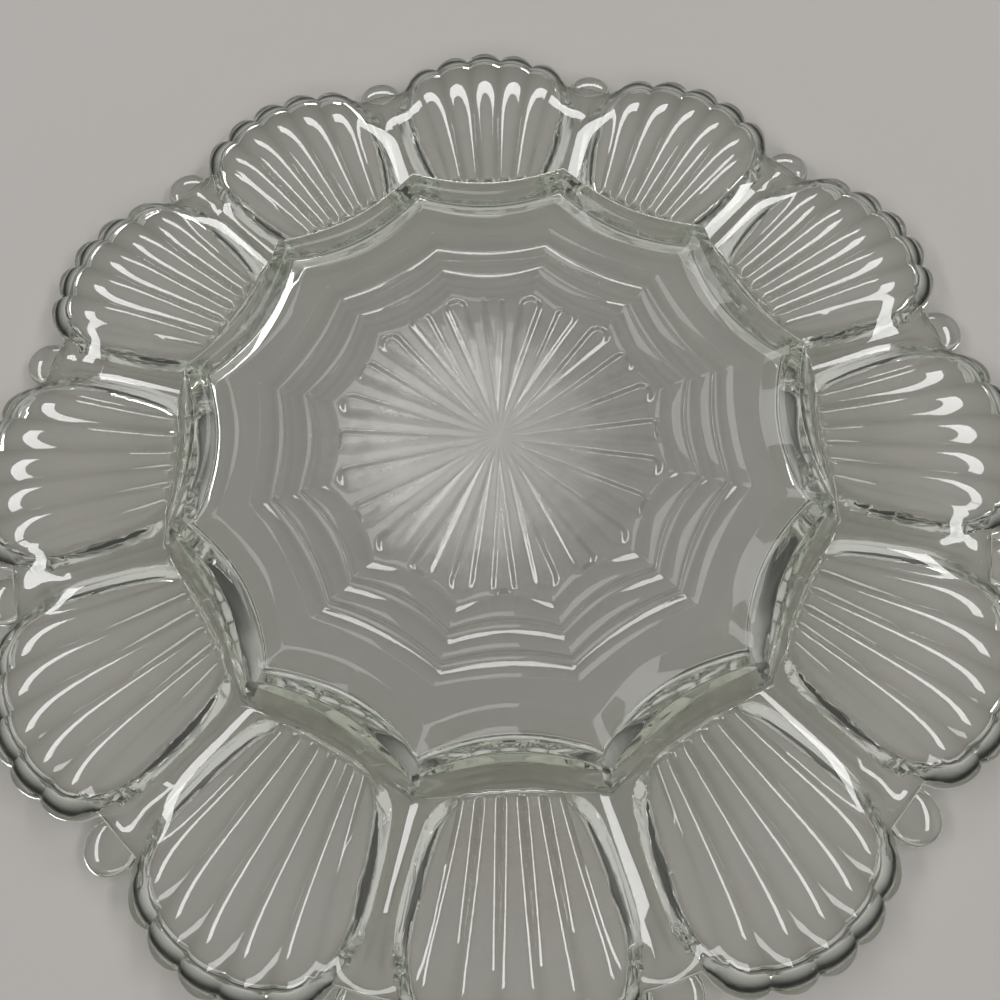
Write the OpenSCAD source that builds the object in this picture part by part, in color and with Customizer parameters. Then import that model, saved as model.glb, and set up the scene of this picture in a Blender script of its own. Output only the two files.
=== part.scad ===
// Deviled egg platter in pressed clear glass: a round well with twelve egg cups about it.
// The casting is divided at its moulded features, which meet face to face.
// Origin: centre of the foot ring's flat face, on the table. +Z is up, cups open upwards.

/* [Well] */
// Corner radius of the sunburst medallion
medallion_r = 42.2; // [36:0.2:50]
// Height that the petals stand out of the medallion
petal_h = 1; // [0.3:0.1:1.2]
// Width of the sloped band of the innermost step ring
band_w = 5.9; // [4:0.1:7]
// How much narrower each further band is
band_drop = 0.6; // [0.1:0.1:1]
// Width of the flat ledge outside each band
ledge_w = 1.6; // [0.8:0.1:2.5]
// Height that each band climbs
step_depth = 1.8; // [0.4:0.1:2]
// How far the sides of the innermost ring bow inwards between their corners
ring_bow = 2.2; // [1.2:0.1:2.6]
// How much straighter the sides of each further ring are
ring_bow_drop = 0.4; // [0:0.05:0.5]
// Width of the plain apron outside the step rings
apron_w = 2.6; // [2:0.1:4]
// Height of the well's floor above the table
well_z = 6.5; // [5.8:0.1:8]
// Width of the well's rising wall, out to the foot ring's points
wall_run = 15.3; // [14.2:0.1:18]
// Width over which the wall climbs to its crest
wall_climb = 13.5; // [11:0.1:14]
// Height of the crest between the well and a cup
crest_z = 17; // [15.5:0.25:18.5]

/* [Foot] */
// Height of the foot ring below the well's underside
foot_h = 2; // [1:0.1:2.6]
// Width of the foot ring's flat band
foot_w = 3.8; // [2.5:0.1:5]
// Width of the slope inside the foot ring's flat band
foot_flank_w = 6.5; // [3:0.1:7]
// How far the foot ring's arcs bow inwards between its points
foot_bow = 4; // [1:0.1:4.5]

/* [Cups] */
// Length of a cup, from the foot ring's points to the tip of its middle rim bump
cup_length = 59.2; // [52:0.2:68]
// Height of the rim above the table
rim_z = 22; // [21:0.5:25]
// Height of the rim's lower edge above the table
rim_under_z = 17.5; // [16:0.5:18.5]
// How far the outermost bumps of a cup sit inside the middle one
lobe_drop = 5; // [2:0.5:6]
// Depth of the notch between two rim bumps
bump_depth = 1.8; // [0.6:0.1:2.4]
// Height of a cup's floor above the table
cup_floor_z = 13.8; // [13:0.1:15]
// Height of a cup's underside above the table
cup_under_z = 10.2; // [9:0.1:11]
// Width of a cup's wall where it falls to the floor beside the well
inner_wall = 5.5; // [3:0.1:8]
// Width of a cup's wall beside a divider
side_wall = 4.5; // [3:0.1:6]
// Width of a cup's wall at the rim
rim_wall = 8; // [5:0.1:10]
// Width of the level lip round the rim
rim_lip = 1.8; // [1:0.1:3]
// Height that the ribs stand out of the underside
rib_h = 1.2; // [0.3:0.1:1.6]

/* [Dividers] */
// Width of a divider bar at the foot ring
bar_foot_w = 11; // [9:0.5:14]
// Width of a divider bar at its waist
bar_waist_w = 6; // [4.5:0.25:9]
// Height of a divider's shoulders above the table
shoulder_z = 20.6; // [19:0.2:22]
// Height of the rounded crown on a divider bar
bar_crown = 1.2; // [0.4:0.1:2]
// How much higher the underside lies between the cups
bar_lift = 2; // [0:0.25:3]
// Height of the underside's edge below a rim knob
bar_end_z = 15; // [14:0.25:15.5]
// How far the notch between two cups lies inside the rim bumps
notch_drop = 13.7; // [12.5:0.1:15]

/* [Knobs] */
// Radius of a rim knob seen from above
knob_r = 6.5; // [5:0.1:7]
// Height of a rim knob
knob_h = 5; // [4:0.25:5.5]
// Distance of a rim knob's centre inside the rim bumps
knob_inset = 11; // [10:0.1:12]
// Gap between a knob and the pocket that it sits in
knob_gap = 0.3; // [0.25:0.05:0.5]

/* [Hidden] */

// Counts and angles
cup_count = 12;
pitch = 360 / cup_count;
half = pitch / 2;
rib_count = 5;
petal_count = 24;
rib_pitch_foot = 3;
rib_pitch_rim = 4.44;
notch_turn = 0.9;
ring_steps = 4;
foot_steps = 12;
column_count = 22;
rib_columns = 4;
bar_columns = 6;
pocket_rows = 2;
glass_colour = [0.80, 0.84, 0.81, 0.75];

// Shares of the way from the foot ring to the rim, one for each row of a cup's grid
row_shares = [0, 0.075, 0.12, 0.175, 0.45, 0.8, 0.93, 1];
rows = len(row_shares) - 1;
climb_share = 0.14;
waist_share = 0.55;
belly_share = 0.45;
shoulder_share = 0.8;
wall_fillet_share = 0.2;
corner_share = 2.2;
shoulder_fillet_share = 2;
rim_rise_share = 2.75;
bar_side_share = 0.6;
belly_power = 3.5;

// Shares of the medallion's radius, one for each row of its grid, with each row's relief
petal_row_shares = [0.14, 0.5, 0.82, 0.92, 1];
petal_relief_shares = [0.25, 0.7, 1, 0.1, 0];

// Radii, from the medallion outwards
ring_count = 3;
function band_width(i) = band_w - i * band_drop;
function ring_inner(i) = i == 0 ? medallion_r : ring_inner(i - 1) + band_width(i - 1) + ledge_w;
function ring_outer(i) = ring_inner(i) + band_width(i);
function bow_of(i) = ring_bow - min(i, ring_count - 1) * ring_bow_drop;
apron_inner = ring_inner(ring_count);
well_r = apron_inner + apron_w;
foot_cusp_r = well_r + wall_run;
crest_r = well_r + wall_climb;
rim_r = foot_cusp_r + cup_length;
notch_r = rim_r - notch_drop;
knob_place_r = rim_r - knob_inset;
pocket_r = knob_r + knob_gap;
pocket_x = (pow(notch_r, 2) + pow(knob_place_r, 2) - pow(pocket_r, 2)) / (2 * knob_place_r);
notch_half = sqrt(pow(notch_r, 2) - pow(pocket_x, 2));
pocket_turn = atan2(notch_half, knob_place_r - pocket_x);
relief_z = foot_h + step_depth;
knob_seat_z = rim_z - knob_h - knob_gap;
rim_rise_r = rim_r - rim_wall * rim_rise_share;

// Small helpers
function mix(a, b, t) = a + (b - a) * t;
function limit(t) = min(1, max(0, t));
function ease(t) = limit(t) * limit(t) * (3 - 2 * limit(t));
function ramp(t, s) = t < s ? max(0, t) * max(0, t) / (2 * s * (1 - s))
  : t > 1 - s ? 1 - pow(1 - min(1, t), 2) / (2 * s * (1 - s))
  : (t - s / 2) / (1 - s);
function polar(r, a, z) = [r * cos(a), r * sin(a), z];
function lobe_angle(a) = a - pitch * round(a / pitch);
function flatten(lists) = [for (list = lists) for (item = list) item];

// Outline with one corner between each two cups, whose sides bow inwards
function bowed_r(corner_r, bow, a) =
  corner_r * cos(half) / cos(a) - bow * (1 - pow(a / half, 2));

function outline(corner_r, bow, steps) = [
  for (i = [0 : cup_count * steps - 1])
    let (a = half + i * pitch / steps, r = bowed_r(corner_r, bow, lobe_angle(a)))
    [r * cos(a), r * sin(a)]
];

// Radius of the foot's outline at an angle, along the straight sides between its points
function foot_r(a) =
  let (
    step = pitch / foot_steps,
    a0 = step * floor(a / step),
    r0 = bowed_r(foot_cusp_r, foot_bow, a0),
    r1 = bowed_r(foot_cusp_r, foot_bow, a0 + step)
  )
  r0 * r1 * sin(step) / (r0 * sin(a - a0) + r1 * sin(a0 + step - a));

// Height of the well's top surface at a radius: floor, conical wall with fillets, crest
function well_top(r) = mix(well_z, crest_z, ramp((r - well_r) / wall_climb, wall_fillet_share));

// Rim line: the lobe falls back from its middle bump, then drops to the notch beside it
lobe_half = rib_count / 2 * rib_pitch_rim;
function notch_share(a) = ease((abs(a) - lobe_half) / notch_turn);
function lobe_line(a) = rim_r - lobe_drop * pow(a / rib_pitch_rim / 2, 2);
function rim_line(a) = mix(lobe_line(a), notch_r, notch_share(a));
function bump(k) = abs(k) > rib_count / 2 ? 0 : abs(cos(180 * k));

// Width of a divider bar and the angle where it meets its cup
function bar_width(q) = q < waist_share
  ? mix(bar_waist_w, bar_foot_w, pow(1 - limit(q) / waist_share, 2))
  : mix(bar_waist_w, 2 * notch_half, pow((limit(q) - waist_share) / (1 - waist_share), 6));
function bar_place(r) = (r - foot_cusp_r) / (notch_r - foot_cusp_r);
function bar_half(r) = bar_width(bar_place(r)) / 2;
function edge_angle(q) = half - asin(bar_width(q) / 2 / mix(foot_cusp_r, notch_r, q));
function lobe_r(q, a) = mix(foot_r(a), rim_line(a), q);

// Ribs fan out from the foot ring to the rim
function rib_pitch(q) = mix(rib_pitch_foot, rib_pitch_rim, q);
function rib_step(j) = (j - column_count / 2) / rib_columns;
function rib_angle(q, j) = j == 0 ? -edge_angle(q)
  : j == column_count ? edge_angle(q)
  : rib_step(j) * rib_pitch(q);
function bowl_share(j) = sin(90 * (2 * j / column_count - 1));
function is_edge(j) = j == 0 || j == column_count;

// Share that is one along the middle of a divider and falls to zero at its two ends
function mid_share(q) = ease(q / climb_share) * (1 - ease((q - shoulder_share) / (1 - shoulder_share)));

// Height of the underside, which lies higher between the cups
function under_z(q, side, a) =
  mix(foot_h, cup_under_z, ease(q / climb_share))
  + (mix(rim_under_z, bar_end_z, notch_share(a)) - cup_under_z)
    * pow(limit((q - belly_share) / (1 - belly_share)), belly_power)
  + bar_lift * side * side * mid_share(q);

// Height of the top: a bowl with round corners, sunk into the land round it
function land_z(r) = well_top(r)
  + (shoulder_z - crest_z) * ease((r - foot_cusp_r) / (shoulder_fillet_share * side_wall))
  + (rim_z - shoulder_z) * ease((r - rim_rise_r) / (rim_r - rim_wall - rim_rise_r));
function bowl_fall(r, a) =
  let (
    side = max(0, corner_share - (r * sin(half - abs(a)) - bar_half(r)) / side_wall),
    inner = max(0, corner_share - (r - crest_r) / inner_wall),
    outer = max(0, corner_share - (lobe_line(a) - rim_lip - r) / rim_wall)
  )
  ease(corner_share - norm([side, inner, outer]));
function top_z(r, a) = mix(land_z(r), cup_floor_z, bowl_fall(r, a));

function cup_top(row, j) =
  let (
    q = row_shares[row],
    a = (row == 0 || row == rows) ? rib_angle(q, j) : bowl_share(j) * edge_angle(q),
    scallop = row == rows && !is_edge(j) ? bump_depth * (1 - bump(rib_step(j))) : 0,
    r = lobe_r(q, a) - scallop
  )
  polar(r, a, row == rows && !is_edge(j) ? rim_z : is_edge(j) ? land_z(r) : top_z(r, a));

function cup_under(row, j) =
  let (
    q = row_shares[row],
    a = rib_angle(q, j),
    rib = is_edge(j) || row == 0 ? 0 : rib_h * bump(rib_step(j)),
    scallop = row == rows && !is_edge(j) ? bump_depth * (1 - bump(rib_step(j))) : 0
  )
  polar(lobe_r(q, a) - scallop, a, under_z(q, is_edge(j) ? bar_side_share : 0, a) - rib);

// Divider bar: a rounded crown, then a pocket with a seat for the knob at the outer end
function bar_share(j) = 2 * j / bar_columns - 1;
function bar_point(q, j) =
  let (edge = half - edge_angle(q), a = bar_share(j) * edge, r = lobe_r(q, half - abs(a)))
  [r * cos(a), r * sin(a)];
function pocket_point(j) =
  let (a = pocket_turn * bar_share(j))
  [knob_place_r - pocket_r * cos(a), pocket_r * sin(a)];
function bar_top(row, j) =
  let (
    q = row_shares[min(row, rows)],
    p = row < rows ? bar_point(q, j) : row < rows + pocket_rows ? pocket_point(j) : bar_point(1, j),
    r = norm(p),
    crown = bar_crown * (1 - pow(bar_share(j), 2)) * mid_share(q),
    z = row <= rows ? land_z(r) + crown
      : j == 0 || j == bar_columns ? land_z(r) - knob_gap * (row - rows)
      : knob_seat_z
  )
  [p[0], p[1], z];
function bar_under(row, j) =
  let (
    t = (row - rows + 1) / (pocket_rows + 1),
    p = row < rows
      ? bar_point(row_shares[row], j)
      : mix(bar_point(row_shares[rows - 1], j), bar_point(1, j), t),
    q = row < rows ? row_shares[row] : mix(row_shares[rows - 1], 1, t)
  )
  [p[0], p[1], under_z(q, mix(1, bar_side_share, abs(bar_share(j))), half)];

// Closed shell between an upper and a lower grid of points
module grid_solid(upper, lower) {
  m = len(upper) - 1;
  n = len(upper[0]) - 1;
  size = (m + 1) * (n + 1);
  function at(face, i, j) = face * size + i * (n + 1) + j;
  top = [for (i = [0 : m - 1]) for (j = [0 : n - 1]) each [
    [at(0, i, j), at(0, i, j + 1), at(0, i + 1, j + 1)],
    [at(0, i, j), at(0, i + 1, j + 1), at(0, i + 1, j)]]];
  base = [for (i = [0 : m - 1]) for (j = [0 : n - 1]) each [
    [at(1, i, j), at(1, i + 1, j + 1), at(1, i, j + 1)],
    [at(1, i, j), at(1, i + 1, j), at(1, i + 1, j + 1)]]];
  ends = [for (j = [0 : n - 1]) each [
    [at(0, 0, j), at(1, 0, j), at(1, 0, j + 1)], [at(0, 0, j), at(1, 0, j + 1), at(0, 0, j + 1)],
    [at(0, m, j), at(0, m, j + 1), at(1, m, j + 1)], [at(0, m, j), at(1, m, j + 1), at(1, m, j)]]];
  sides = [for (i = [0 : m - 1]) each [
    [at(0, i, 0), at(0, i + 1, 0), at(1, i, 0)], [at(0, i + 1, 0), at(1, i + 1, 0), at(1, i, 0)],
    [at(0, i, n), at(1, i, n), at(0, i + 1, n)], [at(1, i, n), at(1, i + 1, n), at(0, i + 1, n)]]];
  polyhedron(concat(flatten(upper), flatten(lower)), concat(top, base, ends, sides));
}

// Closed ring swept round the platter: each section is a loop of points at one angle
module ring_solid(sections) {
  count = len(sections);
  n = len(sections[0]);
  function at(i, j) = (i % count) * n + j % n;
  polyhedron(flatten(sections), [for (i = [0 : count - 1]) for (j = [0 : n - 1])
    each [[at(i, j), at(i, j + 1), at(i + 1, j + 1)], [at(i, j), at(i + 1, j + 1), at(i + 1, j)]]]);
}

// Sunburst medallion: tapering petals under a flat disc
module well_floor() {
  columns = cup_count * ring_steps;
  last = len(petal_row_shares) - 1;
  function column_a(i) = half + i * pitch / ring_steps;
  function petal(i) = abs(cos(column_a(i) * petal_count / 2));
  function ring_at(k, i) =
    let (a = column_a(i), r = petal_row_shares[k] * bowed_r(medallion_r, bow_of(0), lobe_angle(a)))
    polar(r, a, relief_z - petal_h * petal_relief_shares[k] * petal(i));
  function rim_at(i) = let (p = ring_at(last, i)) [p[0], p[1], well_z];
  points = concat(
    [[0, 0, relief_z], [0, 0, well_z]],
    [for (k = [0 : last]) for (i = [0 : columns - 1]) ring_at(k, i)],
    [for (i = [0 : columns - 1]) rim_at(i)]);
  function at(k, i) = 2 + k * columns + i % columns;
  color(glass_colour)
    polyhedron(points, concat(
      [for (i = [0 : columns - 1]) [0, at(0, i), at(0, i + 1)]],
      [for (i = [0 : columns - 1]) [1, at(last + 1, i + 1), at(last + 1, i)]],
      [for (k = [0 : last]) for (i = [0 : columns - 1])
        each [[at(k, i), at(k + 1, i), at(k + 1, i + 1)], [at(k, i), at(k + 1, i + 1), at(k, i + 1)]]]));
}

// Step ring: a sloped band and a flat ledge, on a twelve-cornered outline
module step_ring(i) {
  inner = ring_inner(i);
  crest = ring_outer(i);
  outer = ring_inner(i + 1);
  color(glass_colour)
    ring_solid([for (k = [0 : cup_count * ring_steps - 1])
      let (a = half + k * pitch / ring_steps, b = lobe_angle(a))
      [
        polar(bowed_r(inner, bow_of(i), b), a, well_z),
        polar(bowed_r(inner, bow_of(i), b), a, relief_z),
        polar(bowed_r(crest, bow_of(i), b), a, foot_h),
        polar(bowed_r(outer, bow_of(i + 1), b), a, foot_h),
        polar(bowed_r(outer, bow_of(i + 1), b), a, well_z)
      ]]);
}
module step_ring_inner() { step_ring(0); }
module step_ring_middle() { step_ring(1); }
module step_ring_outer() { step_ring(2); }

// Flat apron between the step rings and the well's wall
module well_apron() {
  color(glass_colour)
    translate([0, 0, foot_h])
      linear_extrude(height = well_z - foot_h)
        difference() {
          circle(r = well_r, $fn = 96);
          polygon(outline(apron_inner, bow_of(ring_count), ring_steps));
        }
}

// Rising wall of the well, turned inside and scalloped outside to follow the foot ring
module well_wall() {
  steps = 10;
  color(glass_colour)
    intersection() {
      rotate_extrude($fn = 96)
        polygon(concat(
          [[foot_cusp_r, crest_z], [foot_cusp_r, foot_h], [well_r, foot_h]],
          [for (i = [0 : steps]) let (r = well_r + wall_climb * i / steps) [r, well_top(r)]]));
      linear_extrude(height = rim_z)
        polygon(outline(foot_cusp_r, foot_bow, foot_steps));
    }
}

// Scalloped foot ring: a flat band that stands on the table, with a slope up to the well
module foot_ring() {
  band_r = foot_cusp_r - foot_w;
  flank_r = band_r - foot_flank_w;
  color(glass_colour)
    ring_solid([for (k = [0 : cup_count * foot_steps - 1])
      let (a = half + k * pitch / foot_steps, b = lobe_angle(a))
      [
        polar(bowed_r(flank_r, foot_bow, b), a, foot_h),
        polar(bowed_r(band_r, foot_bow, b), a, 0),
        polar(bowed_r(foot_cusp_r, foot_bow, b), a, 0),
        polar(bowed_r(foot_cusp_r, foot_bow, b), a, foot_h)
      ]]);
}

// Egg cup: a bowed bowl with fanned ribs beneath that end in rim bumps
module egg_cup(i) {
  color(glass_colour)
    rotate([0, 0, i * pitch])
      grid_solid(
        [for (row = [0 : rows]) [for (j = [0 : column_count]) cup_top(row, j)]],
        [for (row = [0 : rows]) [for (j = [0 : column_count]) cup_under(row, j)]]);
}

// Divider bar between a cup and the next
module divider_bar(i) {
  color(glass_colour)
    rotate([0, 0, i * pitch + half])
      grid_solid(
        [for (row = [0 : rows + pocket_rows]) [for (j = [0 : bar_columns]) bar_top(row, j)]],
        [for (row = [0 : rows + pocket_rows]) [for (j = [0 : bar_columns]) bar_under(row, j)]]);
}

// Rim knob: a turned bead in the pocket at the end of a divider bar
module rim_knob(i) {
  steps = 16;
  color(glass_colour)
    rotate([0, 0, i * pitch + half])
      translate([knob_place_r, 0, rim_z - knob_h / 2])
        rotate_extrude($fn = 48)
          polygon([for (k = [0 : steps])
            let (a = 180 * k / steps - 90) [knob_r * cos(a), knob_h / 2 * sin(a)]]);
}

function numbered(name, i) = str(name, i < 9 ? "_0" : "_", i + 1);

well_floor();
step_ring_inner();
step_ring_middle();
step_ring_outer();
well_apron();
well_wall();
foot_ring();
for (i = [0 : cup_count - 1]) {
  egg_cup(i);
  divider_bar(i);
  rim_knob(i);
}
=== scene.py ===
import math
import bpy
import bmesh
import numpy as np
from mathutils import Matrix, Vector


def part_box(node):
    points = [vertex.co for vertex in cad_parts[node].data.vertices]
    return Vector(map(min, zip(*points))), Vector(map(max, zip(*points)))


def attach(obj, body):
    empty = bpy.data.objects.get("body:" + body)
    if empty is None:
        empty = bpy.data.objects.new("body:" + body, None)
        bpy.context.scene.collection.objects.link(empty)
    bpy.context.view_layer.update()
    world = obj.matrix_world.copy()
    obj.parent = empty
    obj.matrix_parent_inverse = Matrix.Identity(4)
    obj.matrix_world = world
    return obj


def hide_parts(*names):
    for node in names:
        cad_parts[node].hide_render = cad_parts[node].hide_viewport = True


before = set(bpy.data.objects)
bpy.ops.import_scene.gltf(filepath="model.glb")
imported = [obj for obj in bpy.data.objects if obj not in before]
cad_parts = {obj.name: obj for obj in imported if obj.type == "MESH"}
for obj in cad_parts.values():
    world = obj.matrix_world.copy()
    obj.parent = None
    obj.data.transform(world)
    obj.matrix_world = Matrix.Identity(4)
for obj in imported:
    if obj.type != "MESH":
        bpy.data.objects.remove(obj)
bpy.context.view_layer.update()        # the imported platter: bodies, nodes, record
print("frame loaded, nodes:", len(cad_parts))

mm = 0.001
cupCount = 12
pitchAngle = 360 / cupCount
halfAngle = pitchAngle / 2
cosHalf = math.cos(math.radians(halfAngle))


# sizes that the frame settles, in millimetres
def nodeBox(name):
    low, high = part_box(name)
    return [v / mm for v in low], [v / mm for v in high]


# an outline's corners lie half a pitch either side of +X, where it reaches farthest along X
def cornerRadius(name):
    return nodeBox(name)[1][0] / cosHalf


cupHigh = nodeBox("egg_cup_01")[1]
knobLow, knobHigh = nodeBox("rim_knob_01")
rimR = cupHigh[0]
rimZ = cupHigh[2]
footH = nodeBox("foot_ring")[1][2]
footCuspR = cornerRadius("foot_ring")
medallionR = cornerRadius("well_floor")
ringEdges = [medallionR] + [cornerRadius("step_ring_" + n) for n in ("inner", "middle", "outer")]
wellR = nodeBox("well_apron")[1][0]
wellZ = nodeBox("well_apron")[1][2]
crestZ = nodeBox("well_wall")[1][2]
knobR = (knobHigh[1] - knobLow[1]) / 2
knobHeight = knobHigh[2] - knobLow[2]
knobPlaceR = math.hypot((knobHigh[0] + knobLow[0]) / 2, (knobHigh[1] + knobLow[1]) / 2)


# small helpers on numbers and arrays
def mix(a, b, t):
    return a + (b - a) * t


def limit(t):
    return np.clip(t, 0, 1)


def ease(t):
    t = limit(t)
    return t * t * (3 - 2 * t)


# a twelve-cornered outline whose sides bow inwards, at an angle from the middle of a side
def bowedR(cornerR, bow, a):
    return cornerR * cosHalf / np.cos(np.radians(a)) - bow * (1 - (a / halfAngle) ** 2)


ribs = {
    "count": 5,
    "pitchFoot": 3.0,        # degrees between ribs at the foot ring
    "pitchRim": 4.44,        # and at the rim
    "height": 1.2,
    "rimShare": 0.5,         # how much of the height is left where they turn up round the rim
    "roundness": 0.75,
    "start": 0.128,          # share of the way out where they begin, in a small step
    "startRun": 0.014,
    "before": 0.15,          # share of their height that they reach before the step
    "bumpDepth": 1.8,
    "bumpPower": 8,          # the rim bumps reach in only near the rim
    "lobeDrop": 5.0,
    "notchDrop": 13.7,       # the notch between two cups, inside the rim bumps
    "notchTurn": 0.9,
}
well = {
    "stepDepth": 1.8,
    "bandShare": 0.787,      # the part of a step ring's width that its slope takes
    "ringBow": 2.2,
    "ringBowDrop": 0.4,
    "bowPower": 6,           # the medallion's rows turn from circles into its bowed outline
    "petals": 24,
    "petalHeight": 1.0,
    "petalRadius": 3.7,
    "petalPlace": 37.6,
    "petalEdge": 2.6,
    "arris": 0.9,
    "wallInset": 4.4,        # the wall follows the foot's outline and climbs beside its outer face
    "wallRun": 9.0,
    "wallFillet": 0.2,
    "wallRows": 12,
    "wallRowStart": 0.3,     # its rows begin this far inside the foot's outline
    "wallRowPast": 0.2,      # and end this far past its lower edge
}
foot = {
    "bow": 4.0,
    "width": 3.8,
    "flank": 6.5,            # the slope inside the flat band
    "fillet": 0.5,
}
cup = {
    "floorZ": 13.8,
    "underZ": 10.2,
    "rimUnderZ": 17.5,
    "barEndZ": 15.0,
    "shoulderZ": 20.6,
    "climb": 0.14,
    "belly": 0.45,
    "bellyPower": 3.5,
    "lift": 2.0,             # how far the underside rises beneath a bar, past liftStart degrees
    "liftStart": 10,
    "fadeStart": 0.8,        # share of the way out where bars and lifts fade into the rim
    "barFoot": 11.0,
    "barWaist": 6.0,
    "barRim": 12.5,
    "waistShare": 0.55,
    "barRimPower": 6,
    "barCrown": 1.2,
    "innerWall": 5.5,
    "innerInset": 1.8,
    "sideWall": 4.5,
    "rimWall": 8.0,
    "rimRise": 22.0,
    "cornerSoft": 2.2,       # corner radius of the bowl, in wall widths
    "rimLip": 1.8,
    "rimRound": 2.0,
}
bowlStartR = footCuspR - cup["innerInset"]
notchR = rimR - ribs["notchDrop"]
lobeHalf = ribs["count"] / 2 * ribs["pitchRim"]

# one sector's grid: columns run round, rows run from the centre out below and back in on top
grid = {
    "ribColumns": 40,
    "sideColumns": 6,
    "sideShares": [0, 0.1, 0.2, 0.3, 0.5, 0.75, 1],      # closer together beside the notch
    "bowlShares": [0, 0.45, 0.85, 1],                    # on top, closer together beside the bars
    "bowlAngles": [0, 8.5, 13.5, halfAngle],
    "turnShare": 0.12,       # share of the way in where the top's columns turn from the ribs to the bowl
}
columns = grid["ribColumns"] + 2 * grid["sideColumns"]
columnShare = np.linspace(-1, 1, columns + 1)
ribZone = grid["ribColumns"] / columns
inRibs = abs(columnShare) <= ribZone + 1e-6        # the margin is for rounding
ribStep = columnShare / ribZone * ribs["count"] / 2
ribWave = np.where(inRibs, abs(np.cos(np.pi * ribStep)) ** ribs["roundness"], 0)
evenAngle = columnShare * halfAngle
bowlTurn = np.interp(abs(columnShare), grid["bowlShares"], grid["bowlAngles"])
bowlAngle = np.sign(columnShare) * bowlTurn


# the columns' angles at a share of the way out: they fan out with the ribs
def fanAngle(q):
    reach = ribs["count"] / 2 * mix(ribs["pitchFoot"], ribs["pitchRim"], q)
    beside = np.linspace(0, 1, grid["sideColumns"] + 1)
    outside = np.interp((abs(columnShare) - ribZone) / (1 - ribZone), beside, grid["sideShares"])
    inside = columnShare / ribZone * reach
    return np.where(inRibs, inside, np.sign(columnShare) * mix(reach, halfAngle, outside))


def footR(a):
    return bowedR(footCuspR, foot["bow"], a)


# 0 along a cup's rim, 1 in the notch beside it
def notchShare(a):
    return ease((abs(a) - lobeHalf) / ribs["notchTurn"])


def lobeLine(a):
    return rimR - ribs["lobeDrop"] * (a / ribs["pitchRim"] / 2) ** 2


def rimLine(a):
    return mix(lobeLine(a), notchR, notchShare(a))


def scallop(a):
    return (1 - ribWave) * (1 - notchShare(a)) * ribs["bumpDepth"]


# a straight ramp with a round start and end
def ramp(t, s):
    t = limit(t)
    straight = (t - s / 2) / (1 - s)
    start = t ** 2 / (2 * s * (1 - s))
    end = 1 - (1 - t) ** 2 / (2 * s * (1 - s))
    return np.where(t < s, start, np.where(t > 1 - s, end, straight))


def fadeOut(q):
    return 1 - ease((q - cup["fadeStart"]) / (1 - cup["fadeStart"]))


# height of the cups' underside, without the ribs
def underZ(q, a):
    climb = ease(q / cup["climb"])
    side = limit((abs(a) - cup["liftStart"]) / (halfAngle - cup["liftStart"]))
    rise = limit((q - cup["belly"]) / (1 - cup["belly"])) ** cup["bellyPower"]
    lift = cup["lift"] * side ** 2 * climb * fadeOut(q)
    rimUnder = mix(cup["rimUnderZ"], cup["barEndZ"], notchShare(a))
    return mix(footH, cup["underZ"], climb) + (rimUnder - cup["underZ"]) * rise + lift


# half the width of the bar between two cups
def barHalf(r):
    q = limit((r - footCuspR) / (notchR - footCuspR))
    waist = cup["waistShare"]
    inner = mix(cup["barWaist"], cup["barFoot"], limit(1 - q / waist) ** 2)
    outer = mix(cup["barWaist"], cup["barRim"], limit((q - waist) / (1 - waist)) ** cup["barRimPower"])
    return np.where(q < waist, inner, outer) / 2


def wellTop(r, a):
    climbed = (r - footR(a) + well["wallInset"]) / well["wallRun"]
    return mix(wellZ, crestZ, ramp(climbed, well["wallFillet"]))


# height of the upper side between the cups, and of the well's wall
def landZ(r, a):
    rimRiseR = rimR - cup["rimRise"]
    shoulder = (cup["shoulderZ"] - crestZ) * ease((r - footCuspR) / (2 * cup["sideWall"]))
    toRim = ease((r - rimRiseR) / (cup["rimRise"] - cup["rimWall"]))
    return wellTop(r, a) + shoulder + (rimZ - cup["shoulderZ"]) * toRim


# height of the upper side with the cups' bowls sunk in it
def topZ(r, a):
    bar = barHalf(r)
    fromBar = r * np.sin(np.radians(halfAngle - abs(a)))
    soft = cup["cornerSoft"]
    side = np.maximum(soft - (fromBar - bar) / cup["sideWall"], 0)
    inner = np.maximum(soft - (r - bowlStartR) / cup["innerWall"], 0)
    outer = np.maximum(soft - (lobeLine(a) - cup["rimLip"] - r) / cup["rimWall"], 0)
    bowl = ease(soft - np.sqrt(side ** 2 + inner ** 2 + outer ** 2))
    q = (r - footCuspR) / (notchR - footCuspR)
    along = ease(q / cup["climb"]) * fadeOut(q)
    crown = cup["barCrown"] * limit(1 - (fromBar / bar) ** 2) * along
    return mix(landZ(r, a) + crown, cup["floorZ"], bowl)


rows = []        # each row is a list of points across the sector


def addRow(r, a, z):
    t = np.radians(a)
    rows.append(np.stack([r * np.cos(t), r * np.sin(t), np.broadcast_to(z, t.shape)], axis=1) * mm)


# underside of the medallion: petals that taper to the centre, with round outer ends
def petalZ(r, a):
    step = 360 / well["petals"]
    t = np.radians(a - step * np.round(a / step))
    along, across = r * np.cos(t), abs(r * np.sin(t))
    wide = well["petalRadius"] * along / well["petalPlace"]
    inside = np.where(along < well["petalPlace"], wide - across,
                      well["petalRadius"] - np.hypot(along - well["petalPlace"], across))
    return well["petalHeight"] * ease(inside / well["petalEdge"])


reliefZ = footH + well["stepDepth"]
medallionShares = [0.03, 0.07, 0.12, 0.18, 0.26, 0.35, 0.45, 0.55, 0.65, 0.74, 0.81, 0.86, 0.895,
                   0.92, 0.94, 0.96, 0.98, 0.995]
for share in medallionShares:
    r = share * bowedR(medallionR, well["ringBow"] * share ** well["bowPower"], evenAngle)
    addRow(r, evenAngle, reliefZ - petalZ(r, evenAngle))

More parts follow.
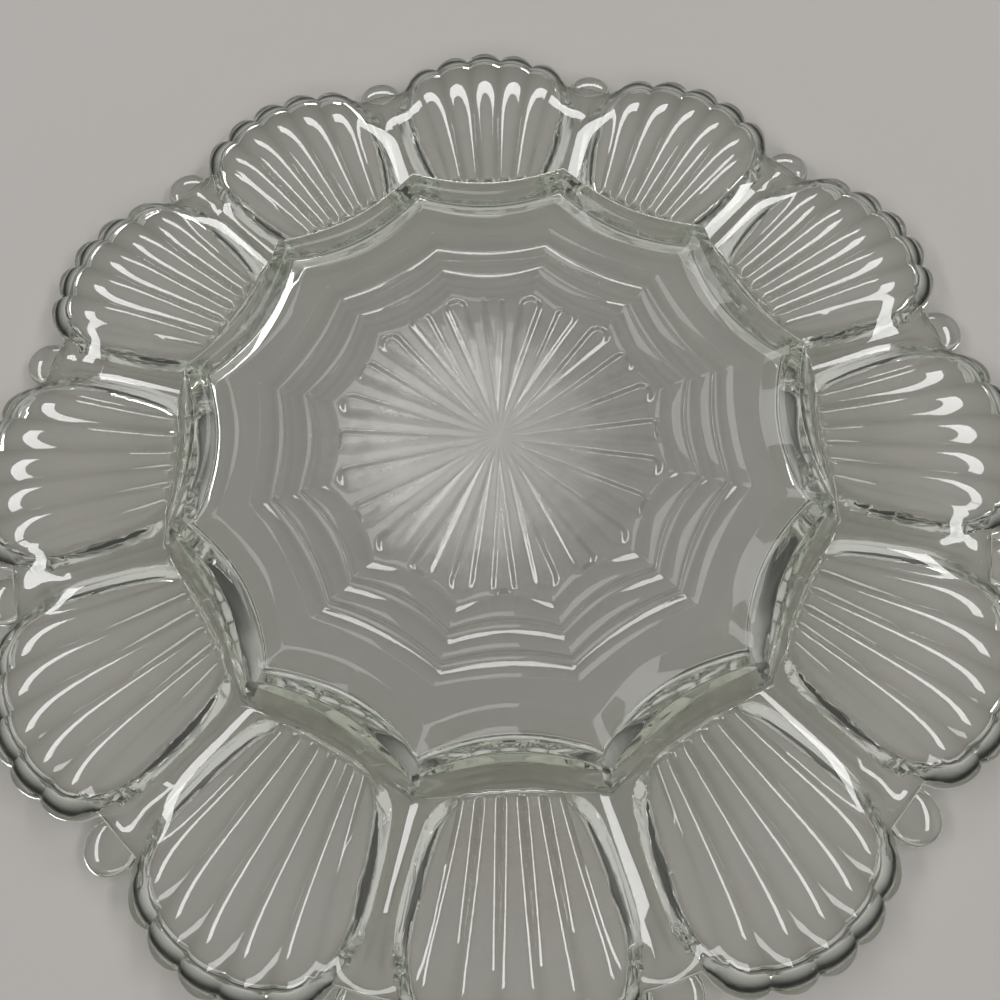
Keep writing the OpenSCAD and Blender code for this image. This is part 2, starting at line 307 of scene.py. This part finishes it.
# step rings: a sloped band, then a ledge, then a small step back up, all with round arrises,
# whose points lie at shares of the arris
arris = well["arris"]
for i in range(3):
    bow = well["ringBow"] - i * well["ringBowDrop"]
    inner, outer = ringEdges[i], ringEdges[i + 1]
    crest = mix(inner, outer, well["bandShare"])
    slope = well["stepDepth"] / (crest - inner)
    profile = [(inner + arris, reliefZ - 0.1 * arris), (inner + 2 * arris, reliefZ - slope * 1.4 * arris),
               (mix(inner, crest, 0.5), mix(reliefZ, footH, 0.5)),
               (crest - 1.6 * arris, footH + slope * 1.6 * arris),
               (crest - 0.6 * arris, footH + slope * 0.75 * arris),
               (crest + 0.6 * arris, footH + 0.03 * arris),
               (outer - 1.2 * arris, footH), (outer - 0.5 * arris, footH + 0.12 * arris),
               (outer - 0.12 * arris, footH + 0.6 * arris), (outer, mix(footH, reliefZ, 0.5)),
               (outer + 0.12 * arris, reliefZ - 0.6 * arris),
               (outer + 0.45 * arris, reliefZ - 0.12 * arris)]
    if i == 2:
        profile = profile[:7]        # the outer ledge runs on into the apron
    for cornerR, z in profile:
        addRow(bowedR(cornerR, bow, evenAngle), evenAngle, z)

# apron, then the slope and the flat band of the foot ring, with round edges
bandR = footCuspR - foot["width"]
flankR = bandR - foot["flank"]
fillet = foot["fillet"]
apronBow = well["ringBow"] - 2 * well["ringBowDrop"]
apronSteps = 3
for i in range(1, apronSteps + 1):
    t = i / (apronSteps + 1)
    a = mix(evenAngle, fanAngle(0), t)
    addRow(bowedR(mix(ringEdges[3], flankR - 2 * fillet, t), mix(apronBow, foot["bow"], t), a), a, footH)
fan = fanAngle(0)
fall = footH / foot["flank"]
edgeRows = [(flankR - 1.4 * fillet, footH), (flankR, footH - 0.25 * fall * fillet),
            (flankR + 1.4 * fillet, footH - 1.4 * fall * fillet), (mix(flankR, bandR, 0.5), footH / 2),
            (bandR - 1.4 * fillet, 1.4 * fall * fillet), (bandR, 0.25 * fall * fillet),
            (bandR + 1.4 * fillet, 0),
            (footCuspR - 1.5 * fillet, 0), (footCuspR - 0.6 * fillet, 0.12 * fillet),
            (footCuspR - 0.15 * fillet, 0.6 * fillet), (footCuspR, 1.5 * fillet),
            (footCuspR, footH - 0.6 * fillet)]
for cornerR, z in edgeRows:
    addRow(bowedR(cornerR, foot["bow"], fan), fan, z)

# underside of the cups: the foot's outer wall, then the fanned ribs
underShares = [0.008, 0.022, 0.038, 0.055, 0.072, 0.09, 0.108, 0.124, 0.131, 0.138, 0.146, 0.16, 0.19,
               0.24, 0.31, 0.39, 0.47, 0.55, 0.62, 0.69, 0.75, 0.8, 0.845, 0.88, 0.91, 0.935, 0.955, 0.972]
for q in underShares:
    a = fanAngle(q)
    ribFade = mix(ease((q - ribs["start"]) / ribs["startRun"]), ease(q / ribs["start"]), ribs["before"])
    outline = rimLine(a) - scallop(a) * q ** ribs["bumpPower"]
    addRow(mix(footR(a), outline, q), a, underZ(q, a) - ribs["height"] * ribWave * ribFade)

# rounded rim with its bumps, lower and smooth in the notch between two cups
fan = fanAngle(1)
rimEdge = rimLine(fan) - scallop(fan)
rimTop = mix(rimZ, landZ(rimEdge, fan), notchShare(fan))
rimUnder = underZ(1, fan)
ribEnd = ribs["height"] * ribs["rimShare"] * ribWave
for turn in (-75, -50, -25, 0, 25, 50, 75):
    t = math.radians(turn)
    z = mix(rimUnder, rimTop, (1 + math.sin(t)) / 2) - ribEnd * limit(-math.sin(t))
    addRow(rimEdge - cup["rimRound"] * (1 - math.cos(t)), fan, z)

# top of the cups, back to the crest
topShares = [0.965, 0.95, 0.935, 0.92, 0.905, 0.89, 0.87, 0.85, 0.825, 0.79, 0.74, 0.67, 0.59, 0.51,
             0.43, 0.36, 0.3, 0.25, 0.215, 0.185, 0.16, 0.142, 0.126, 0.11, 0.095, 0.08, 0.066, 0.052,
             0.038, 0.024, 0.01]
for q in topShares:
    w = ease((1 - q) / grid["turnShare"])
    a = mix(fanAngle(1), bowlAngle, w)
    r = mix(footR(a), rimLine(a) - scallop(a) * (1 - w), q)
    addRow(r, a, topZ(r, a))

# well: the rest of the scalloped wall, then a flat floor
for i in range(well["wallRows"] + 1):
    t = i / well["wallRows"]
    a = mix(bowlAngle, evenAngle, t)
    r = footR(a) - mix(well["wallRowStart"], well["wallInset"] + well["wallRowPast"], t)
    addRow(r, a, wellTop(r, a))
wellShares = [1, 0.97, 0.9, 0.75, 0.5, 0.2]
for share in wellShares:
    addRow(wellR * share, evenAngle, wellZ)
print("rows:", len(rows), "columns in a sector:", columns)


# faces between the rows, and a fan to the middle at either end
def sectorMesh():
    count, across = len(rows), columns + 1
    points = [tuple(p) for row in rows for p in row]
    under, over = len(points), len(points) + 1
    points += [(0, 0, reliefZ * mm), (0, 0, wellZ * mm)]
    faces = [(under, j + 1, j) for j in range(columns)]
    for i in range(count - 1):
        faces += [(i * across + j, i * across + j + 1, (i + 1) * across + j + 1, (i + 1) * across + j)
                  for j in range(columns)]
    last = (count - 1) * across
    faces += [(over, last + j, last + j + 1) for j in range(columns)]
    mesh = bpy.data.meshes.new("platterSector")
    mesh.from_pydata(points, [], faces)
    mesh.update()
    return mesh


knob = {
    "segments": 28,
    "rings": 16,
}


# a flattened ball in the first notch, its top level with the rim
def knobMesh():
    bm = bmesh.new()
    bmesh.ops.create_uvsphere(bm, radius=knobR * mm, u_segments=knob["segments"], v_segments=knob["rings"])
    bmesh.ops.scale(bm, vec=(1, 1, knobHeight / 2 / knobR), verts=bm.verts)
    bmesh.ops.translate(bm, vec=(knobPlaceR * mm, 0, (rimZ - knobHeight / 2) * mm), verts=bm.verts)
    notch = Matrix.Rotation(math.radians(halfAngle), 3, "Z")
    bmesh.ops.rotate(bm, cent=(0, 0, 0), matrix=notch, verts=bm.verts)
    mesh = bpy.data.meshes.new("knobBead")
    bm.to_mesh(mesh)
    bm.free()
    return mesh


# a socket of a node tree, on which arithmetic builds Math nodes
class Wire:
    def __init__(self, tree, socket):
        self.tree = tree
        self.socket = socket

    def maths(self, operation, *inputs):
        node = self.tree.nodes.new("ShaderNodeMath")
        node.operation = operation
        for i, value in enumerate(inputs):
            if isinstance(value, Wire):
                self.tree.links.new(value.socket, node.inputs[i])
            else:
                node.inputs[i].default_value = value
        return Wire(self.tree, node.outputs[0])

    def __add__(self, other):
        return self.maths("ADD", self, other)

    def __radd__(self, other):
        return self.maths("ADD", other, self)

    def __sub__(self, other):
        return self.maths("SUBTRACT", self, other)

    def __rsub__(self, other):
        return self.maths("SUBTRACT", other, self)

    def __mul__(self, other):
        return self.maths("MULTIPLY", self, other)

    def __rmul__(self, other):
        return self.maths("MULTIPLY", other, self)

    def __truediv__(self, other):
        return self.maths("DIVIDE", self, other)

    def __rtruediv__(self, other):
        return self.maths("DIVIDE", other, self)


# any other node, with its settings, its inputs and the output that is wanted
class Tree:
    def __init__(self, tree):
        self.tree = tree

    def node(self, kind, settings=None, values=None):
        node = self.tree.nodes.new(kind)
        for name, value in (settings or {}).items():
            setattr(node, name, value)
        for name, value in (values or {}).items():
            if isinstance(value, Wire):
                self.tree.links.new(value.socket, node.inputs[name])
            else:
                node.inputs[name].default_value = value
        return node

    def wire(self, kind, settings=None, values=None, output=0):
        return Wire(self.tree, self.node(kind, settings, values).outputs[output])


skin = {
    "mergeDistance": 2e-6,   # joins the sectors' edges, in metres
    "sharpAngle": 38,
}


# Geometry Nodes: one sector, repeated round the middle
def repeatTree(name):
    group = bpy.data.node_groups.new(name, "GeometryNodeTree")
    face = group.interface
    face.new_socket("Geometry", in_out="INPUT", socket_type="NodeSocketGeometry")
    face.new_socket("Count", in_out="INPUT", socket_type="NodeSocketInt")
    face.new_socket("Merge Distance", in_out="INPUT", socket_type="NodeSocketFloat")
    face.new_socket("Finish", in_out="INPUT", socket_type="NodeSocketMaterial")
    face.new_socket("Geometry", in_out="OUTPUT", socket_type="NodeSocketGeometry")
    t = Tree(group)
    given = t.node("NodeGroupInput")
    source, count, merge, finish = [Wire(group, given.outputs[i]) for i in range(4)]
    line = t.wire("GeometryNodeMeshLine", values={"Count": count, "Offset": (0, 0, 0)})
    turn = t.wire("GeometryNodeInputIndex") * (2 * math.pi) / count
    spin = t.wire("ShaderNodeCombineXYZ", values={"Z": turn})
    copies = t.wire("GeometryNodeInstanceOnPoints", values={
        "Points": line, "Instance": source, "Rotation": spin})
    whole = t.wire("GeometryNodeRealizeInstances", values={"Geometry": copies})
    closed = t.wire("GeometryNodeMergeByDistance", values={"Geometry": whole, "Distance": merge})
    smooth = t.wire("GeometryNodeSetShadeSmooth", values={"Geometry": closed})
    coloured = t.wire("GeometryNodeSetMaterial", values={"Geometry": smooth, "Material": finish})
    out = t.node("NodeGroupOutput")
    group.links.new(coloured.socket, out.inputs[0])
    return group


# an object whose mesh is the finished repeat, with no modifier left
def repeated(mesh, name, group, material):
    source = bpy.data.objects.new(name + "Source", mesh)
    bpy.context.scene.collection.objects.link(source)
    modifier = source.modifiers.new("repeat", "NODES")
    modifier.node_group = group
    sockets = {s.name: s.identifier for s in group.interface.items_tree if s.in_out == "INPUT"}
    modifier[sockets["Count"]] = cupCount
    modifier[sockets["Merge Distance"]] = skin["mergeDistance"]
    modifier[sockets["Finish"]] = material
    graph = bpy.context.evaluated_depsgraph_get()
    plain = bpy.data.meshes.new_from_object(source.evaluated_get(graph))
    plain.name = name
    bpy.data.objects.remove(source)
    piece = bpy.data.objects.new(name, plain)
    bpy.context.scene.collection.objects.link(piece)
    return piece


# finishes
glass = {
    "clear": (0.985, 0.985, 0.975, 1),
    "steepPaintedShade": (0.78, 0.79, 0.74, 1),          # painted shade: Base Color darkened where the skin turns away from the level faces
    "steepStart": 0.99,
    "steepEnd": 0.80,
    "ior": 1.52,
    "gloss": 0.012,
    "haze": 0.30,            # roughness of the frosted middle of the sunburst
    "hazeR": (16.0, 42.0),
    "hazeMiddle": (-0.006, 0.001, 0),
    "gapHaze": 0.55,         # share of the haze that the gaps between petals keep
    "underside": -0.3,       # faces whose normals reach lower than this take the whole haze
    "grimeSize": 260.0,      # noise scale of the haze's ragged edge
    "grimeDetail": 4.0,
    "frost": (0.55, 0.55, 0.53, 1),
    "frostRough": 0.6,
    "frostShare": 0.19,
    "waveSize": 55.0,        # noise scale of the slow waves that pressing leaves
    "waveDetail": 1.0,
    "waveBump": 0.06,
    "waveDepth": 0.001,
    "tint": (0.70, 0.80, 0.58, 1),
    "tintDensity": 7.0,
    "wellR": (64.0, 86.0),   # from here to here the shade goes over from the well's to the cups'
    "wellShade": (0.36, 0.36, 0.35, 1),
    "cupShade": (0.52, 0.52, 0.50, 1),
    "steepShade": (0.35, 0.36, 0.34, 1),
}


def glassMaterial():
    material = bpy.data.materials.new("pressedGlass")
    material.use_nodes = True
    material.node_tree.nodes.clear()
    t = Tree(material.node_tree)
    place = t.wire("ShaderNodeTexCoord", output="Object")
    flat = t.wire("ShaderNodeVectorMath", {"operation": "MULTIPLY"}, {0: place, 1: (1, 1, 0)})
    fromMiddle = t.wire("ShaderNodeVectorMath", {"operation": "LENGTH"}, {0: flat}, output="Value") / mm
    grime = t.wire("ShaderNodeTexNoise", values={
        "Vector": place, "Scale": glass["grimeSize"], "Detail": glass["grimeDetail"]})
    facing = t.wire("ShaderNodeNewGeometry", output="Normal")
    rising = t.wire("ShaderNodeSeparateXYZ", values={0: facing}, output="Z")
    below = t.wire("ShaderNodeMapRange", values={
        "Value": rising, "From Min": 0.0, "From Max": glass["underside"]})
    level = rising.maths("ABSOLUTE", rising)
    # how steep a face is: it weights the painted shade in the colour and the darker shade that shadow rays
    # take
    steepPaintedShade = t.wire("ShaderNodeMapRange", values={
        "Value": level, "From Min": glass["steepStart"], "From Max": glass["steepEnd"]})
    hazeIn, hazeOut = glass["hazeR"]
    aside = t.wire("ShaderNodeVectorMath", {"operation": "SUBTRACT"}, {0: flat, 1: glass["hazeMiddle"]})
    fromHaze = t.wire("ShaderNodeVectorMath", {"operation": "LENGTH"}, {0: aside}, output="Value") / mm
    ragged = fromHaze + (grime - 0.5) * (hazeOut - hazeIn)
    fade = t.wire("ShaderNodeMapRange", {"interpolation_type": "SMOOTHERSTEP"}, {
        "Value": ragged, "From Min": hazeIn, "From Max": hazeOut, "To Min": 1.0, "To Max": 0.0})
    depth = t.wire("ShaderNodeSeparateXYZ", values={0: place}, output="Z") / mm
    petal = t.wire("ShaderNodeMapRange", values={
        "Value": depth, "From Min": reliefZ, "From Max": reliefZ - well["petalHeight"],
        "To Min": glass["gapHaze"]})
    haze = fade * below * petal
    rough = glass["gloss"] + haze * glass["haze"]
    wave = t.wire("ShaderNodeTexNoise", values={
        "Vector": place, "Scale": glass["waveSize"], "Detail": glass["waveDetail"]})
    bump = t.wire("ShaderNodeBump", values={
        "Height": wave, "Strength": glass["waveBump"], "Distance": glass["waveDepth"]})
    # painted shade: the colour darkens on steep faces
    colour = t.wire("ShaderNodeMix", {"data_type": "RGBA"}, {
        0: steepPaintedShade, 6: glass["clear"], 7: glass["steepPaintedShade"]}, output=2)
    body = t.wire("ShaderNodeBsdfPrincipled", values={
        "Base Color": colour, "Roughness": rough, "IOR": glass["ior"], "Transmission Weight": 1.0,
        "Normal": bump})
    frost = t.wire("ShaderNodeBsdfPrincipled", values={
        "Base Color": glass["frost"], "Roughness": glass["frostRough"]})
    seen = t.wire("ShaderNodeMixShader", values={0: haze * glass["frostShare"], 1: body, 2: frost})
    # shadow rays pass with a shade, and the light that the glass bends comes on top of it
    shades = [t.wire("ShaderNodeBsdfTransparent", values={"Color": glass[name]})
              for name in ("wellShade", "cupShade", "steepShade")]
    outward = t.wire("ShaderNodeMapRange", {"interpolation_type": "SMOOTHSTEP"}, {
        "Value": fromMiddle, "From Min": glass["wellR"][0], "From Max": glass["wellR"][1]})
    flatShade = t.wire("ShaderNodeMixShader", values={0: outward, 1: shades[0], 2: shades[1]})
    shade = t.wire("ShaderNodeMixShader", values={0: steepPaintedShade, 1: flatShade, 2: shades[2]})
    shadow = t.wire("ShaderNodeLightPath", output="Is Shadow Ray")
    surface = t.wire("ShaderNodeMixShader", values={0: shadow, 1: seen, 2: shade})
    inside = t.wire("ShaderNodeVolumeAbsorption", values={
        "Color": glass["tint"], "Density": glass["tintDensity"]})
    out = t.node("ShaderNodeOutputMaterial")
    t.tree.links.new(surface.socket, out.inputs["Surface"])
    t.tree.links.new(inside.socket, out.inputs["Volume"])
    return material


# the platter: one unbroken skin of glass, because the real one is one casting
glassFinish = glassMaterial()
repeat = repeatTree("repeatRound")
platter = repeated(sectorMesh(), "platterGlass", repeat, glassFinish)
knobs = repeated(knobMesh(), "knobBeads", repeat, glassFinish)
join = platter.modifiers.new("join", "BOOLEAN")
join.operation = "UNION"
join.solver = "MANIFOLD"
join.object = knobs
graph = bpy.context.evaluated_depsgraph_get()
joined = bpy.data.meshes.new_from_object(platter.evaluated_get(graph))
platter.modifiers.clear()
platter.data = joined
bpy.data.objects.remove(knobs)
check = bmesh.new()
check.from_mesh(platter.data)
openEdges = sum(1 for e in check.edges if len(e.link_faces) != 2)
volume = check.calc_volume(signed=True) / mm ** 3
triangles = sum(len(f.verts) - 2 for f in check.faces)
check.free()
print("platter: triangles", triangles, "open edges", openEdges, "volume cubic mm", round(volume))
platter.data.set_sharp_from_angle(angle=math.radians(skin["sharpAngle"]))
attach(platter, "root")
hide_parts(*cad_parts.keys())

# the stage: a pale table under the foot, and a pale sheet that the rim rests on when seen from below
stage = {
    "size": 6.0,
    "gap": 0.00015,          # between a plane and the glass, in metres
    "pale": (0.405, 0.390, 0.378, 1),
    "rough": (0.75, 0.95),   # lowest and highest, by a soft grain
    "grainSize": 40.0,
    "grainDetail": 3.0,
}


# seen from its front only: shadow rays, bounced rays and the view from behind pass through
def oneSided(name, colour):
    material = bpy.data.materials.new(name)
    material.use_nodes = True
    material.node_tree.nodes.clear()
    t = Tree(material.node_tree)
    behind = t.wire("ShaderNodeNewGeometry", output="Backfacing")
    shadow, glossy, diffuse = [t.wire("ShaderNodeLightPath", output=name)
                               for name in ("Is Shadow Ray", "Glossy Depth", "Diffuse Depth")]
    passes = behind + shadow + glossy + diffuse
    through = passes.maths("MINIMUM", passes, 1.0)
    grain = t.wire("ShaderNodeTexNoise", values={
        "Scale": stage["grainSize"], "Detail": stage["grainDetail"]})
    low, high = stage["rough"]
    rough = low + grain * (high - low)
    pale = t.wire("ShaderNodeBsdfDiffuse", values={"Color": colour, "Roughness": rough})
    clear = t.wire("ShaderNodeBsdfTransparent")
    surface = t.wire("ShaderNodeMixShader", values={0: through, 1: pale, 2: clear})
    out = t.node("ShaderNodeOutputMaterial")
    t.tree.links.new(surface.socket, out.inputs["Surface"])
    return material


def stagePlane(name, z, up):
    s = stage["size"] / 2
    corners = [(-s, -s, z), (s, -s, z), (s, s, z), (-s, s, z)]
    mesh = bpy.data.meshes.new(name)
    mesh.from_pydata(corners, [], [(0, 1, 2, 3) if up else (3, 2, 1, 0)])
    mesh.materials.append(oneSided(name + "Finish", stage["pale"]))
    plane = bpy.data.objects.new(name, mesh)
    bpy.context.scene.collection.objects.link(plane)
    return plane


stagePlane("table", -stage["gap"], True)
stagePlane("sheet", rimZ * mm + stage["gap"], False)


# a lamp faces the origin, and its length lies level along X or Y
def aimed(place):
    back = place.normalized()
    along = Vector((1, 0, 0)) if abs(back.y) > abs(back.x) else Vector((0, 1, 0))
    other = back.cross(along).normalized()
    first, second = (other.cross(back), other) if along.x else (other, back.cross(other))
    return Matrix((first, second, back)).transposed().to_4x4()


# name, place, size and power: long strips below the platter, off its four sides, and square lamps
# below and above it
lamps = [
    ("keyBelow", (-0.18, -0.65, -1.45), (0.5, 0.5), 1.9),
    ("rightBelow", (0.98, 0.0, -0.95), (0.19, 1.4), 8.5),
    ("leftBelow", (-1.10, 0.0, -0.90), (0.19, 1.4), 8.5),
    ("farBelow", (0.0, -1.25, -0.75), (1.6, 0.19), 8.0),
    ("nearBelow", (0.0, 1.30, -0.80), (1.5, 0.19), 5.5),
    ("keyAbove", (-0.60, -0.85, 1.45), (0.5, 0.5), 9.0),
    ("rightAbove", (0.95, -0.35, 1.10), (0.4, 0.4), 4.5),
    ("leftAbove", (-1.05, 0.55, 0.95), (0.4, 0.4), 4.5),
]
for name, place, size, power in lamps:
    data = bpy.data.lights.new(name, "AREA")
    data.shape = "RECTANGLE"
    data.size, data.size_y = size
    data.energy = power
    lamp = bpy.data.objects.new(name, data)
    lamp.matrix_world = Matrix.Translation(place) @ aimed(Vector(place))
    lamp.visible_transmission = False        # the glass mirrors a lamp, but none is seen through it
    bpy.context.scene.collection.objects.link(lamp)

# the room is pale above and below, and darker round the horizon
room = {
    "colour": (1.0, 0.985, 0.955, 1),
    "height": (0.08, 0.88),  # sine of the elevation where it begins to turn pale, and where it ends
    "strength": (0.03, 0.52),
    "backdrop": 0.42,        # what the camera sees is at least this bright
}
world = bpy.data.worlds.new("room")
world.use_nodes = True
world.node_tree.nodes.clear()
t = Tree(world.node_tree)
direction = t.wire("ShaderNodeTexCoord", output="Generated")
height = t.wire("ShaderNodeSeparateXYZ", values={0: direction}, output="Z")
pale = t.wire("ShaderNodeMapRange", {"interpolation_type": "SMOOTHSTEP"}, {
    "Value": height.maths("ABSOLUTE", height), "From Min": room["height"][0], "From Max": room["height"][1],
    "To Min": room["strength"][0], "To Max": room["strength"][1]})
seen = t.wire("ShaderNodeLightPath", output="Is Camera Ray")
strength = pale.maths("MAXIMUM", pale, seen * room["backdrop"])
sky = t.wire("ShaderNodeBackground", values={"Color": room["colour"], "Strength": strength})
t.tree.links.new(sky.socket, t.node("ShaderNodeOutputWorld").inputs["Surface"])
bpy.context.scene.world = world

# the camera looks up at the underside, as the photograph does
lens = {
    "focalPixels": 738,
    "framePixels": 1000,
    "sensor": 36,
    "elevation": 71.53,      # degrees below the level
    "distance": 174.6,
    "aim": (-0.1, 17.5, 1.5),
    "roll": -1.93,
    "yaw": 0.21,
    "clipStart": 0.005,
}


def makeCamera():
    e, roll = math.radians(lens["elevation"]), math.radians(lens["roll"])
    back = Vector((0, math.cos(e), -math.sin(e)))
    across = Vector((1, 0, 0))
    up = Vector((0, -math.sin(e), -math.cos(e)))
    right = math.cos(roll) * across + math.sin(roll) * up
    top = -math.sin(roll) * across + math.cos(roll) * up
    turn = Matrix((right, top, back)).transposed().to_4x4()
    place = Matrix.Translation((Vector(lens["aim"]) + lens["distance"] * back) * mm)
    data = bpy.data.cameras.new("camera")
    data.sensor_width = lens["sensor"]
    data.lens = lens["focalPixels"] / lens["framePixels"] * lens["sensor"]
    data.clip_start = lens["clipStart"]
    camera = bpy.data.objects.new("camera", data)
    camera.matrix_world = Matrix.Rotation(math.radians(lens["yaw"]), 4, "Z") @ place @ turn
    bpy.context.scene.collection.objects.link(camera)
    bpy.context.scene.camera = camera


makeCamera()
print("stage, lamps, room and camera in place")

# the thick glass needs many bounces, or its steep faces go black
bounces = {
    "max_bounces": 20,
    "transmission_bounces": 16,
    "glossy_bounces": 16,
    "transparent_max_bounces": 24,
}
scene = bpy.context.scene
scene.view_settings.view_transform = "Standard"
for name, count in bounces.items():
    setattr(scene.cycles, name, count)
scene.cycles.caustics_reflective = False
